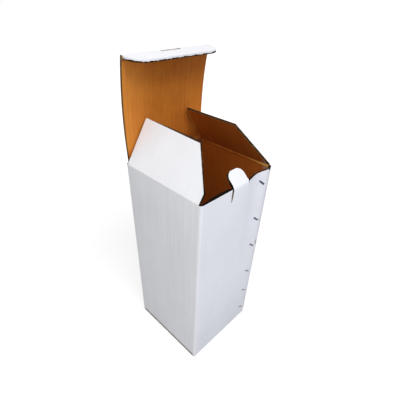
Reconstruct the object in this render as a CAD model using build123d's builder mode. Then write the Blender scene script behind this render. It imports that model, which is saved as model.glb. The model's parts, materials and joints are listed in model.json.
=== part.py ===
"""Tall tuck-top carton of white-lined corrugated board, standing open.

Frame: origin at the middle of the base, Z up, the front panel with the lock tongue towards -Y,
the lid hinged on the back wall. Lengths are in millimetres.
"""
import os
from math import asin, cos, radians, sin, tan

from build123d import *

# The tube of four walls, measured over the outer liner
box_width = 130.0
box_depth = 127.0
box_height = 282.0
board = 3.0

# Folds that do not move: the inner liner keeps a small radius
fold_inside = 0.5
fold_middle = fold_inside + board / 2
fold_outside = fold_inside + board

# Hinged folds: the axis lies on the outer liner and each side stops this far short of it
hinge_gap = 0.15
mitre_square = 45.0
mitre_tuck = 59.0

# The joint: the front panel lies over a lap folded in from the right wall
panel_inset = 10.0
lap_gap = 0.2
lap_reach = 37.0
lap_drop = 4.5

# Lid, dust flaps and tuck flap
lid_lift = board + 0.3
lid_side_gap = 3.5
lid_chord = 113.5
lid_lean = 3.7
lid_bow = 4.3
tuck_depth = 25.5
tuck_corner = 19.0
tuck_droop = 5.5
flap_depth = 58.5
flap_side_gap = 0.9
lap_side_gap = 0.4
flap_corner = 2.0
left_shoulder = 12.5
left_taper = 34.5
right_shoulder = 3.0
right_taper = 33.0
left_tilt = 57.0
right_tilt = 57.0

# Lock tongue on the front rim, the slit at its root, and its slot at the tuck fold
tongue_width = 27.0
tongue_length = 17.4
tongue_lean = 48.0
tongue_corner = 10.0
tongue_bend = 3.0
tongue_root = 2.8
root_cut = 0.6
slit_width = 1.3
slit_depth = 17.0
slit_drift = 2.0
slot_clearance = 0.5
slot_in_tuck = 6.0
slot_in_lid = 2.0
slot_corner = 2.0

# Bottom flaps: the side pair lies on the front and back pair
outer_seam = 1.0
inner_seam = 4.0
corner_foot = 0.6
outer_flap_side = 0.5
inner_flap_side = 0.4
lap_foot = 1.5

# Wire stitches through the front panel and the lap
wire_width = 2.2
wire_thick = 0.6
crown_length = 12.9
clinch_length = 5.0
wire_bend = 0.5
wire_clear = 0.05
pierce_clear = 0.1
stitch_slant = -39.5
stitch_inset = 20.0
stitch_top = 15.5
stitch_foot = 25.0
stitch_strays = (0.0, 6.7, 4.4, 8.6, 4.8, 0.0)

# Places derived from the sizes above
half_width = box_width / 2
half_depth = box_depth / 2
lap_face = -half_depth + board + lap_gap
lap_inside = lap_face + board
front_edge_x = half_width - panel_inset
straight_x = half_width - fold_outside
straight_y = half_depth - fold_outside
right_straight_y = lap_face + fold_outside
lid_half = half_width - lid_side_gap
lid_axis_z = box_height + lid_lift
flap_half = half_depth - board - flap_side_gap
right_front_y = right_straight_y + lap_side_gap
stitch_middle = half_width - stitch_inset
stitch_pitch = (box_height - stitch_top - stitch_foot) / (len(stitch_strays) - 1)
stitch_heights = [
    box_height - stitch_top - stitch_pitch * i - stray for i, stray in enumerate(stitch_strays)
]
cut_far = box_width


def box_between(low, high, mode):
    """Adds or cuts the block between two corners."""
    size = [b - a for a, b in zip(low, high)]
    middle = [(a + b) / 2 for a, b in zip(low, high)]
    with Locations(tuple(middle)):
        Box(size[0], size[1], size[2], mode=mode)


with BuildPart() as box_body:
    # Four walls and the lap, as one strip folded round the tube
    with BuildSketch(Plane.XY.offset(corner_foot)):
        with BuildLine():
            FilletPolyline(
                (front_edge_x, -half_depth + board / 2),
                (-half_width + board / 2, -half_depth + board / 2),
                (-half_width + board / 2, half_depth - board / 2),
                (half_width - board / 2, half_depth - board / 2),
                (half_width - board / 2, lap_face + board / 2),
                (half_width - lap_reach, lap_face + board / 2),
                radius=fold_middle,
            )
        trace(line_width=board)
    extrude(amount=lid_axis_z - corner_foot)

    # The walls end where their bottom folds begin
    box_between(
        (-straight_x, -half_depth - 1, 0),
        (front_edge_x + 1, -half_depth + board + lap_gap / 2, fold_outside),
        Mode.SUBTRACT,
    )
    box_between(
        (-straight_x, half_depth - board - 1, 0),
        (straight_x, half_depth + 1, fold_outside),
        Mode.SUBTRACT,
    )
    box_between(
        (-half_width - 1, -straight_y, 0),
        (-half_width + board + 1, straight_y, board + fold_outside),
        Mode.SUBTRACT,
    )
    box_between(
        (half_width - board - 1, right_straight_y, 0),
        (half_width + 1, straight_y, board + fold_outside),
        Mode.SUBTRACT,
    )
    box_between(
        (half_width - lap_reach - 1, lap_face - lap_gap / 2, 0),
        (straight_x, lap_inside + 1, 2 * board + lap_foot),
        Mode.SUBTRACT,
    )
    box_between(
        (straight_x, lap_face - lap_gap / 2, 0),
        (half_width + 1, right_straight_y, board + lap_gap),
        Mode.SUBTRACT,
    )

    # Only the back wall rises above the rim, to the fold of the lid
    box_between(
        (-cut_far, -cut_far, box_height),
        (cut_far, half_depth - board - 0.5, lid_axis_z + 1),
        Mode.SUBTRACT,
    )
    box_between(
        (-cut_far, 0, box_height),
        (-lid_half, cut_far, lid_axis_z + 1),
        Mode.SUBTRACT,
    )
    box_between(
        (lid_half, 0, box_height),
        (cut_far, cut_far, lid_axis_z + 1),
        Mode.SUBTRACT,
    )
    box_between(
        (half_width - lap_reach - 1, lap_face - lap_gap / 2, box_height - lap_drop),
        (straight_x, lap_inside + 1, box_height + 1),
        Mode.SUBTRACT,
    )

    # Mitres on the inner side of the three walls that carry a hinged fold
    for side, low_y in ((-1, -straight_y), (1, right_straight_y)):
        with BuildSketch(Plane.XZ.offset(-straight_y)):
            with BuildLine():
                Polyline(
                    (side * (half_width + 1), box_height - hinge_gap + 1),
                    (side * half_width, box_height - hinge_gap),
                    (side * (half_width - board - 1), box_height - hinge_gap - board - 1),
                    (side * (half_width - board - 1), box_height + 1),
                    close=True,
                )
            make_face()
        extrude(amount=straight_y - low_y, mode=Mode.SUBTRACT)
    with BuildSketch(Plane.YZ.offset(-straight_x)):
        with BuildLine():
            Polyline(
                (half_depth + 1, lid_axis_z - hinge_gap + 1),
                (half_depth, lid_axis_z - hinge_gap),
                (half_depth - board - 1, lid_axis_z - hinge_gap - board - 1),
                (half_depth - board - 1, lid_axis_z + 1),
                close=True,
            )
        make_face()
    extrude(amount=2 * straight_x, mode=Mode.SUBTRACT)

    # Bottom flaps of the front and back panels, meeting in the middle
    for side, far_x in ((-1, front_edge_x), (1, straight_x)):
        with BuildSketch(Plane.YZ.offset(-straight_x)):
            with BuildLine():
                FilletPolyline(
                    (side * (half_depth - board / 2), fold_outside + board),
                    (side * (half_depth - board / 2), board / 2),
                    (side * outer_seam / 2, board / 2),
                    radius=fold_middle,
                )
            trace(line_width=board)
        extrude(amount=far_x + straight_x)
    box_between(
        (-half_width + outer_flap_side, -straight_y, 0),
        (-straight_x, -outer_seam / 2, board),
        Mode.ADD,
    )
    for side in (-1, 1):
        box_between(
            (min(side * straight_x, side * (half_width - outer_flap_side)), outer_seam / 2, 0),
            (max(side * straight_x, side * (half_width - outer_flap_side)), straight_y, board),
            Mode.ADD,
        )

    # Bottom flaps of the side walls, glued on top of them
    for side, low_y in ((-1, -straight_y), (1, right_straight_y)):
        with BuildSketch(Plane.XZ.offset(-straight_y + inner_flap_side)):
            with BuildLine():
                FilletPolyline(
                    (side * (half_width - board / 2), 2 * board + fold_outside),
                    (side * (half_width - board / 2), board * 1.5),
                    (side * inner_seam / 2, board * 1.5),
                    radius=fold_middle,
                )
            trace(line_width=board)
        extrude(amount=straight_y - low_y - 2 * inner_flap_side)

    # Lock tongue: cut free at the rim, bent inwards at its root
    box_between(
        (-tongue_width / 2, -half_depth - 1, box_height - tongue_root),
        (tongue_width / 2 + root_cut, -half_depth + board + 0.1, box_height + 1),
        Mode.SUBTRACT,
    )
    with BuildSketch(Plane.YZ.offset(-tongue_width / 2)):
        with BuildLine():
            CenterArc(
                (-half_depth + board + tongue_bend, box_height - tongue_root),
                tongue_bend + board / 2,
                180,
                -tongue_lean,
            )
        trace(line_width=board)
    extrude(amount=tongue_width)
    tongue_y = -half_depth + (board + tongue_bend) * (1 - cos(radians(tongue_lean)))
    tongue_z = box_height - tongue_root + (board + tongue_bend) * sin(radians(tongue_lean))
    tongue_plane = Plane(
        origin=(0, tongue_y, tongue_z),
        x_dir=(1, 0, 0),
        z_dir=(0, -cos(radians(tongue_lean)), sin(radians(tongue_lean))),
    )
    with BuildSketch(tongue_plane) as tongue_shape:
        with Locations((0, tongue_length / 2)):
            Rectangle(tongue_width, tongue_length)
        fillet(tongue_shape.vertices().group_by(Axis.Y)[-1], radius=tongue_corner)
    extrude(amount=-board)

    # The slit that runs down from the left end of the tongue's root
    with BuildSketch(Plane.XZ.offset(half_depth + 1)):
        with BuildLine():
            Polyline(
                (-tongue_width / 2, box_height + 1),
                (-tongue_width / 2, box_height - tongue_root),
                (-tongue_width / 2 - slit_drift, box_height - slit_depth),
                (-tongue_width / 2 - slit_drift - 0.6, box_height - slit_depth),
                (-tongue_width / 2 - slit_width, box_height - tongue_root),
                (-tongue_width / 2 - slit_width, box_height + 1),
                close=True,
            )
        make_face()
    extrude(amount=-(board + 1 + lap_gap / 2), mode=Mode.SUBTRACT)

    # Pierced slots for the legs of the stitches
    with BuildSketch(Plane.XZ.offset(half_depth + 1)):
        for height in stitch_heights:
            with Locations(Location((stitch_middle, height), stitch_slant)):
                with Locations(
                    (-crown_length / 2 + wire_thick / 2, 0), (crown_length / 2 - wire_thick / 2, 0)
                ):
                    Rectangle(wire_thick + 2 * pierce_clear, wire_width + 2 * pierce_clear)
    extrude(amount=-(2 * board + lap_gap + 2), mode=Mode.SUBTRACT)
box_body.part.label = "box_body"

# The lid bows backwards: its liners are arcs about one centre in front of it
lid_start = (half_depth, lid_axis_z)
lid_end = (
    lid_start[0] - lid_chord * sin(radians(lid_lean)),
    lid_start[1] + lid_chord * cos(radians(lid_lean)),
)
arc_radius = lid_chord**2 / (8 * lid_bow) + lid_bow / 2
arc_half = asin(lid_chord / (2 * arc_radius))
arc_middle = radians(lid_lean)
arc_centre = (
    (lid_start[0] + lid_end[0]) / 2 + (lid_bow - arc_radius) * cos(arc_middle),
    (lid_start[1] + lid_end[1]) / 2 + (lid_bow - arc_radius) * sin(arc_middle),
)


def on_arc(radius, angle):
    """Returns a point of the lid's profile at a radius and angle about the arc's centre."""
    return (arc_centre[0] + radius * cos(angle), arc_centre[1] + radius * sin(angle))


low_angle = arc_middle - arc_half
high_angle = arc_middle + arc_half
low_gap = hinge_gap / arc_radius
low_mitre = (hinge_gap + board * tan(radians(mitre_square))) / (arc_radius - board)
high_mitre = (hinge_gap + board * tan(radians(mitre_tuck))) / (arc_radius - board)
slot_half = tongue_width / 2 + slot_clearance

with BuildPart() as lid:
    with BuildSketch(Plane.YZ.offset(-lid_half)):
        with BuildLine():
            ThreePointArc(
                on_arc(arc_radius, low_angle + low_gap),
                on_arc(arc_radius, arc_middle),
                on_arc(arc_radius, high_angle - low_gap),
            )
            Line(
                on_arc(arc_radius, high_angle - low_gap),
                on_arc(arc_radius - board, high_angle - high_mitre),
            )
            ThreePointArc(
                on_arc(arc_radius - board, high_angle - high_mitre),
                on_arc(arc_radius - board, arc_middle),
                on_arc(arc_radius - board, low_angle + low_mitre),
            )
            Line(
                on_arc(arc_radius - board, low_angle + low_mitre),
                on_arc(arc_radius, low_angle + low_gap),
            )
        make_face()
    extrude(amount=2 * lid_half)
    # The lid's share of the slot for the lock tongue
    box_between(
        (-slot_half, lid_end[0] - 5 * board, lid_end[1] - slot_in_lid),
        (slot_half, lid_end[0] + 5 * board, lid_end[1] + board),
        Mode.SUBTRACT,
    )
lid.part.label = "lid"

# The tuck flap turns forward from the lid's end; its local X runs away from the fold
tuck_plane = Plane(
    origin=(0, lid_end[0], lid_end[1]),
    x_dir=(0, -cos(radians(tuck_droop)), -sin(radians(tuck_droop))),
    z_dir=(0, -sin(radians(tuck_droop)), cos(radians(tuck_droop))),
)
tuck_side = Plane(origin=tuck_plane.origin, x_dir=tuck_plane.x_dir, z_dir=(-1, 0, 0))
with BuildPart() as tuck_flap:
    with BuildSketch(tuck_plane) as tuck_shape:
        with Locations((tuck_depth / 2, 0)):
            Rectangle(tuck_depth, 2 * lid_half)
        fillet(tuck_shape.vertices().group_by(Axis.X)[-1], radius=tuck_corner)
        RectangleRounded(2 * slot_in_tuck, 2 * slot_half, slot_corner, mode=Mode.SUBTRACT)
    extrude(amount=-board)
    # The mitre at the fold, on the inner side
    with BuildSketch(tuck_side):
        with BuildLine():
            Polyline(
                (hinge_gap - 1, 1),
                (hinge_gap, 0),
                (hinge_gap + (board + 1) * tan(radians(mitre_tuck)), -board - 1),
                (hinge_gap - 1, -board - 1),
                close=True,
            )
        make_face()
    extrude(amount=lid_half + 1, both=True, mode=Mode.SUBTRACT)
tuck_flap.part.label = "tuck_flap"


def dust_flap_points(front_y, shoulder, taper):
    """Returns a dust flap's corners: local X runs away from the fold, local Y towards the back."""
    return (
        (hinge_gap, front_y),
        (shoulder, front_y),
        (flap_depth, front_y + (flap_depth - shoulder) * tan(radians(taper))),
        (flap_depth, flap_half),
        (hinge_gap, flap_half),
    )


# Left dust flap, leaning in over the box
left_plane = Plane(
    origin=(-half_width, 0, box_height),
    x_dir=(cos(radians(left_tilt)), 0, sin(radians(left_tilt))),
    z_dir=(-sin(radians(left_tilt)), 0, cos(radians(left_tilt))),
)
left_side = Plane(origin=left_plane.origin, x_dir=left_plane.x_dir, z_dir=(0, -1, 0))
with BuildPart() as left_dust_flap:
    with BuildSketch(left_plane) as left_shape:
        with BuildLine():
            Polyline(*dust_flap_points(-flap_half, left_shoulder, left_taper), close=True)
        make_face()
        fillet(left_shape.vertices().group_by(Axis.X)[-1], radius=flap_corner)
    extrude(amount=-board)
    with BuildSketch(left_side):
        with BuildLine():
            Polyline(
                (hinge_gap - 1, 1),
                (hinge_gap, 0),
                (hinge_gap + (board + 1) * tan(radians(mitre_square)), -board - 1),
                (hinge_gap - 1, -board - 1),
                close=True,
            )
        make_face()
    extrude(amount=half_depth, both=True, mode=Mode.SUBTRACT)
left_dust_flap.part.label = "left_dust_flap"

# Right dust flap: its front edge tapers almost from the fold and clears the joint's folded lap
right_plane = Plane(
    origin=(half_width, 0, box_height),
    x_dir=(-cos(radians(right_tilt)), 0, sin(radians(right_tilt))),
    z_dir=(-sin(radians(right_tilt)), 0, -cos(radians(right_tilt))),
)
right_side = Plane(origin=right_plane.origin, x_dir=right_plane.x_dir, z_dir=(0, 1, 0))
with BuildPart() as right_dust_flap:
    with BuildSketch(right_plane) as right_shape:
        with BuildLine():
            Polyline(*dust_flap_points(right_front_y, right_shoulder, right_taper), close=True)
        make_face()
        fillet(right_shape.vertices().group_by(Axis.X)[-1], radius=flap_corner)
    extrude(amount=board)
    with BuildSketch(right_side):
        with BuildLine():
            Polyline(
                (hinge_gap - 1, 1),
                (hinge_gap, 0),
                (hinge_gap + (board + 1) * tan(radians(mitre_square)), -board - 1),
                (hinge_gap - 1, -board - 1),
                close=True,
            )
        make_face()
    extrude(amount=half_depth, both=True, mode=Mode.SUBTRACT)
right_dust_flap.part.label = "right_dust_flap"

# Stitches: one flat wire each, crown outside, legs through both boards, ends turned in behind
crown_y = -half_depth - wire_clear - wire_thick / 2
clinch_y = lap_inside + wire_clear + wire_thick / 2
leg_x = crown_length / 2 - wire_thick / 2
with BuildPart() as wire_stitches:
    for height in stitch_heights:
        stitch_plane = Plane(
            origin=(stitch_middle, 0, height),
            x_dir=(cos(radians(stitch_slant)), 0, sin(radians(stitch_slant))),
            z_dir=(-sin(radians(stitch_slant)), 0, cos(radians(stitch_slant))),
        )
        with BuildSketch(stitch_plane):
            with BuildLine():
                FilletPolyline(
                    (-leg_x + clinch_length, clinch_y),
                    (-leg_x, clinch_y),
                    (-leg_x, crown_y),
                    (leg_x, crown_y),
                    (leg_x, clinch_y),
                    (leg_x - clinch_length, clinch_y),
                    radius=wire_bend,
                )
            trace(line_width=wire_thick)
        extrude(amount=wire_width / 2, both=True)
wire_stitches.part.label = "wire_stitches"

os.makedirs("parts", exist_ok=True)
export_step(box_body.part, "parts/box_body.step")
export_step(lid.part, "parts/lid.step")
export_step(tuck_flap.part, "parts/tuck_flap.step")
export_step(left_dust_flap.part, "parts/left_dust_flap.step")
export_step(right_dust_flap.part, "parts/right_dust_flap.step")
export_step(wire_stitches.part, "parts/wire_stitches.step")
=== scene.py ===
import json
from math import asin, cos, pi, radians, sin, tan

import bmesh
import bpy
from mathutils import Matrix, Vector


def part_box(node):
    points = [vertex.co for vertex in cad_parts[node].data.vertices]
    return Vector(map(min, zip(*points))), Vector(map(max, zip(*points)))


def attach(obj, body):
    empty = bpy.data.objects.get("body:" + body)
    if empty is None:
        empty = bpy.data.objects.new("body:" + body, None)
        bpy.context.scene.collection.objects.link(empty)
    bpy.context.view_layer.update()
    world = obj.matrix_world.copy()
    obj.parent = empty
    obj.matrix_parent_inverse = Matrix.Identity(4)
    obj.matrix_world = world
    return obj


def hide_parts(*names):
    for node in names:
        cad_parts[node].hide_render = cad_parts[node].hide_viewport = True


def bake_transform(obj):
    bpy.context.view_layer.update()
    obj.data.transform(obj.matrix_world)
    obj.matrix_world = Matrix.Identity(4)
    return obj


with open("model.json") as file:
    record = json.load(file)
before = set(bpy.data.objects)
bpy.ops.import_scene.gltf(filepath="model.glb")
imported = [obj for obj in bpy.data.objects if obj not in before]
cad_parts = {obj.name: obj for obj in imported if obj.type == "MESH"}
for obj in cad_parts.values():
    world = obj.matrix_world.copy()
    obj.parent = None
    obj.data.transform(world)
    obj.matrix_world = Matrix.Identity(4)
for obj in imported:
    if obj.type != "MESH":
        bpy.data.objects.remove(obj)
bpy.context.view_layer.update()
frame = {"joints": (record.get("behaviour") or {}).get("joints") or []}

# Places read from the frame, in metres
wallLow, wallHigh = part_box("box_body")
folds = {j["name"]: Vector(j["pos_m"]) for j in frame["joints"]}
lidFold = folds["lid_fold"]
tuckFold = folds["tuck_fold"]
leftFold = folds["left_flap_fold"]
rightFold = folds["right_flap_fold"]
halfWidth = wallHigh.x
halfDepth = -wallLow.y
rim = leftFold.z
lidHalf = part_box("lid")[1].x

# The board: two liners with fluting between them
board = {
    "thickness": 0.003,
    "paper": 0.00028,
    "pitch": 0.0057,
    "columns": 8,  # for each flute
    "foldOutside": 0.0035,
    "hingeGap": 0.00015,
    "mitre": 45,
    "tuckMitre": 59,
    "smooth": 40,
}
thick = board["thickness"]
paper = board["paper"]
foldOut = board["foldOutside"]
gap = board["hingeGap"]
waveHeight = thick / 2 - 1.5 * paper
straightX = halfWidth - foldOut
straightY = halfDepth - foldOut
outerLayer, fluteLayer, innerLayer, cutLayer = 0, 1, 2, 3
layerDepths = (paper / 2, thick / 2, thick - paper / 2)
wide, deepways, up = Vector((1, 0, 0)), Vector((0, 1, 0)), Vector((0, 0, 1))


# Selecting, cutting and drawing, as in edit mode by hand

def only(obj):
    bpy.ops.object.select_all(action="DESELECT")
    obj.select_set(True)
    bpy.context.view_layer.objects.active = obj


def openEdit(obj):
    only(obj)
    bpy.ops.object.mode_set(mode="EDIT")


def closeEdit():
    bpy.ops.object.mode_set(mode="OBJECT")


def pick(obj, kind, test):  # kind is VERT, EDGE or FACE, and the test gets the element
    bpy.ops.mesh.select_mode(type=kind)
    bpy.ops.mesh.select_all(action="DESELECT")
    mesh = bmesh.from_edit_mesh(obj.data)
    elements = {"VERT": mesh.verts, "EDGE": mesh.edges, "FACE": mesh.faces}[kind]
    found = [e for e in elements if test(e)]
    for e in found:
        e.select_set(True)
    if kind == "VERT":
        mesh.select_flush(True)
    bmesh.update_edit_mesh(obj.data)
    return len(found)


def middle(e):  # of an edge or a face
    return sum((v.co for v in e.verts), Vector()) / len(e.verts)


def everywhere(e):
    return True


def onWhite(face):
    return face.material_index == outerLayer


def near(a, b, reach=0.00002):
    return abs(a - b) < reach


def layerOf(v):
    return v.link_faces[0].material_index if v.link_faces else -1


def draw(offset):
    bpy.ops.mesh.extrude_region_move(TRANSFORM_OT_translate={"value": offset})


def turn(centre, axis, degrees, steps):
    bpy.ops.mesh.spin(steps=steps, angle=-radians(degrees), center=centre, axis=axis)


def remove(obj, test):
    if pick(obj, "FACE", test):
        bpy.ops.mesh.delete(type="FACE")


def cut(obj, test, point, normal, drop=False):  # drop takes away what lies past the normal
    if pick(obj, "FACE", test):
        bpy.ops.mesh.bisect(plane_co=point, plane_no=normal.normalized())
    if drop:
        remove(obj, lambda f: test(f) and (middle(f) - point).dot(normal) > 0)


def roundCorner(obj, test, centre, radius, across, along, steps):
    for i in range(steps):
        angle = radians(90 * (i + 0.5) / steps)
        normal = across * cos(angle) + along * sin(angle)
        cut(obj, test, centre + normal * radius, normal, drop=True)


def corrugate(obj, start, direction, normal, length):  # waves the middle sheet of a flat wall
    flutes = round(length / board["pitch"])
    count = flutes * board["columns"]
    step = length / count

    def onWall(p):
        depth = -(p - start).dot(normal)
        return 0 < depth < thick

    # One cut at each flute and then the columns between them: subdivide makes 100 cuts at most
    for span, parts in ((length, flutes), (length / flutes, board["columns"])):
        def crossing(e):
            along = abs((e.verts[1].co - e.verts[0].co).dot(direction))
            fluted = layerOf(e.verts[0]) == fluteLayer
            return fluted and near(along, span, span / 10) and onWall(middle(e))

        pick(obj, "EDGE", crossing)
        bpy.ops.mesh.subdivide(number_cuts=parts - 1)
    for phase in range(board["columns"]):
        rise = waveHeight * sin(2 * pi * phase / board["columns"])
        if abs(rise) < paper / 10:
            continue

        def inPhase(v):
            place = (v.co - start).dot(direction) / step
            index = round(place)
            inside = 0 < index < count and near(place, index, 0.01)
            fluted = layerOf(v) == fluteLayer and onWall(v.co)
            return inside and fluted and index % board["columns"] == phase

        if pick(obj, "VERT", inPhase):
            bpy.ops.transform.translate(value=normal * rise)


def apply(obj, kind, **settings):
    only(obj)
    modifier = obj.modifiers.new(kind.title(), kind)
    for key, value in settings.items():
        setattr(modifier, key, value)
    bpy.ops.object.modifier_apply(modifier=modifier.name)


def joinAll(objects, name):
    bpy.ops.object.select_all(action="DESELECT")
    for o in objects:
        o.select_set(True)
    bpy.context.view_layer.objects.active = objects[0]
    bpy.ops.object.join()
    made = bpy.context.object
    made.name = name
    made.data.name = name
    return made


def threeSheets(name, size, place, normal, tilt=(0, 0, 0)):  # flat sheets, one for each layer
    sheets = []
    for depth, paint in zip(layerDepths, (whiteLiner, flutePaper, kraftLiner)):
        bpy.ops.mesh.primitive_plane_add(size=1, location=place - normal * depth, rotation=tilt)
        sheet = bpy.context.object
        sheet.scale = (size[0], size[1], 1)
        bpy.ops.object.transform_apply(location=True, rotation=True, scale=True)
        sheet.data.materials.append(paint)
        sheets.append(sheet)
    return joinAll(sheets, name)


def thicken(obj):  # gives the sheets the thickness of paper, with cut paper at edges and inside
    obj.data.materials.append(cutPaper)
    openEdit(obj)
    pick(obj, "FACE", lambda f: f.material_index == innerLayer)
    bpy.ops.mesh.flip_normals()
    closeEdit()
    settings = {"material_offset": cutLayer, "material_offset_rim": cutLayer, "use_even_offset": True}
    apply(obj, "SOLIDIFY", thickness=paper, offset=0, **settings)
    only(obj)
    bpy.ops.object.shade_smooth_by_angle(angle=radians(board["smooth"]))


def mapFlutes(obj):  # UV in metres: across the flutes and along them
    # The side walls, their bottom flaps and the dust flaps have their flutes side by side along Y
    layer = obj.data.uv_layers.new(name="flutes")
    for face in obj.data.polygons:
        n, c = face.normal, face.center
        sideFlap = abs(n.z) > 0.7 and thick < c.z < 2.2 * thick
        across = 1 if abs(n.x) > 0.4 or sideFlap else 0
        for loop in face.loop_indices:
            p = obj.data.vertices[obj.data.loops[loop].vertex_index].co
            layer.data[loop].uv = (p[across], p.z + (p.x if across else -p.y))


# Shader sockets with arithmetic

class Wire:
    def __init__(self, paint, socket):
        self.paint = paint
        self.socket = socket

    def combine(self, operation, other, swapped=False):
        pair = (other, self) if swapped else (self, other)
        return self.paint.node("ShaderNodeMath", {"operation": operation}, {0: pair[0], 1: pair[1]})

    def __add__(self, other):
        return self.combine("ADD", other)

    def __radd__(self, other):
        return self.combine("ADD", other)

    def __sub__(self, other):
        return self.combine("SUBTRACT", other)

    def __rsub__(self, other):
        return self.combine("SUBTRACT", other, swapped=True)

    def __mul__(self, other):
        return self.combine("MULTIPLY", other)

    def __rmul__(self, other):
        return self.combine("MULTIPLY", other)

    def __pow__(self, other):
        return self.combine("POWER", other)


class Paint:
    def __init__(self, name, **values):
        self.material = bpy.data.materials.new(name)
        self.material.use_nodes = True
        self.nodes = self.material.node_tree.nodes
        self.links = self.material.node_tree.links
        self.shader = self.nodes["Principled BSDF"]
        for key, value in values.items():
            self.shader.inputs[key.replace("_", " ")].default_value = value

    def node(self, kind, settings, values, out=0):
        made = self.nodes.new(kind)
        for key, value in settings.items():
            if key == "stops":
                ramp = made.color_ramp.elements
                while len(ramp) < len(value):
                    ramp.new(0.5)
                for element, (position, colour) in zip(ramp, value):
                    element.position = position
                    element.color = (*colour, 1)
            else:
                setattr(made, key, value)
        for key, value in values.items():
            self.feed(made.inputs[key], value)
        return Wire(self, made.outputs[out])

    def feed(self, socket, value):
        if isinstance(value, Wire):
            self.links.new(value.socket, socket)
        else:
            socket.default_value = value

    def give(self, name, value):
        self.feed(self.shader.inputs[name], value)

    def mix(self, share, a, b):  # sockets 6 and 7 take the colours, and output 2 gives one
        first, second = (c if isinstance(c, Wire) else (*c, 1) for c in (a, b))
        values = {0: share, 6: first, 7: second}
        return self.node("ShaderNodeMix", {"data_type": "RGBA"}, values, out=2)

    def ramp(self, value, *stops):
        return self.node("ShaderNodeValToRGB", {"stops": stops}, {0: value})

    def noise(self, vector, scale, detail=2.0, rough=0.5):
        values = {"Vector": vector, "Scale": scale, "Detail": detail, "Roughness": rough}
        return self.node("ShaderNodeTexNoise", {}, values)

    def stretch(self, vector, size):
        return self.node("ShaderNodeMapping", {}, {"Vector": vector, "Scale": size})

    def place(self):
        return self.node("ShaderNodeTexCoord", {}, {}, out="Object")

    def flutes(self):
        return self.node("ShaderNodeUVMap", {"uv_map": "flutes"}, {})

    def part(self, vector, letter):
        return self.node("ShaderNodeSeparateXYZ", {}, {0: vector}, out=letter)

    def sine(self, value):
        return self.node("ShaderNodeMath", {"operation": "SINE"}, {0: value})

    def fade(self, value, start, end):  # from 0 at the start to 1 at the end
        values = {"Value": value, "From Min": start, "From Max": end}
        return self.node("ShaderNodeMapRange", {}, values)

    def spot(self, centre, radius, squeeze=1):  # 1 at the centre, 0 from the radius outwards
        narrowed = self.stretch(self.place(), (squeeze, 1, 1))
        pair = {0: narrowed, 1: (centre[0] * squeeze, centre[1], centre[2])}
        away = self.node("ShaderNodeVectorMath", {"operation": "DISTANCE"}, pair, out="Value")
        return self.fade(away, radius, 0.0)

    def bump(self, height, strength, distance):
        values = {"Height": height, "Strength": strength, "Distance": distance}
        self.give("Normal", self.node("ShaderNodeBump", {}, values))


# The places in these settings are pairs: the look starts at the first value and is full at the second
slotEdge = {
    "colour": (0.72, 0.70, 0.67),
    "centre": (0, 0.0555, 0.3985),
    "reach": 0.026,
    "soft": (0.15, 0.40),
}
cutFoot = (0.0036, 0.0030)


def aroundSlot(p):
    return p.fade(p.spot(slotEdge["centre"], slotEdge["reach"]), *slotEdge["soft"])


white = {
    "colour": (0.84, 0.85, 0.88),
    # grey of worn liner, also used as painted shade on the tongue
    "wearAndShade": (0.66, 0.66, 0.69),
    # painted shade in the step at the front panel's right edge
    "stepShade": (0.50, 0.48, 0.55),
    "raw": (0.42, 0.30, 0.19),
    "torn": (0.30, 0.20, 0.12),
    # painted shade along the foot, at the tuck flap's edge and in the gap below the stitches
    "paintedShade": (0.20, 0.15, 0.13),
    "washboard": 0.00006,
    "leftWall": (-0.055, -0.064),
    "frontWall": (-0.05, -0.056),
    "stepShadeFrom": (0.049, 0.056),
    "footRise": (0.0045, 0.001),
    "tuckHeight": (0.385, 0.390),
    "tuckFront": (0.052, 0.048),
    "tuckSlope": (0.0169, 0.0963),
    "tuckEdge": (0.3936, 0.3925),
    # painted shadows in the gap by the raw edge, below the second and third stitches
    "gapShadows": (((0.0560, -0.0620, 0.206), 0.0050), ((0.0560, -0.0620, 0.166), 0.0075)),
    "gapShadowSqueeze": 1.6,
    "tongueLeft": (-0.0145, -0.0137),
    "tongueRight": (0.0145, 0.0137),
    "tongueFront": (-0.045, -0.048),
    "tongueRise": (0.2800, 0.2835),
    "slitTop": (-0.0157, 0.2792),
    "slitSlope": 0.05,
    "tornFrom": (-0.0014, -0.0008),
    "tornTo": (-0.0136, -0.0140),
    "tornRise": (0.266, 0.274),
    "tornFront": (-0.0590, -0.0600),
    "rawCorner": ((0.0600, -0.0620, 0.002), 0.012),
}


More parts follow.
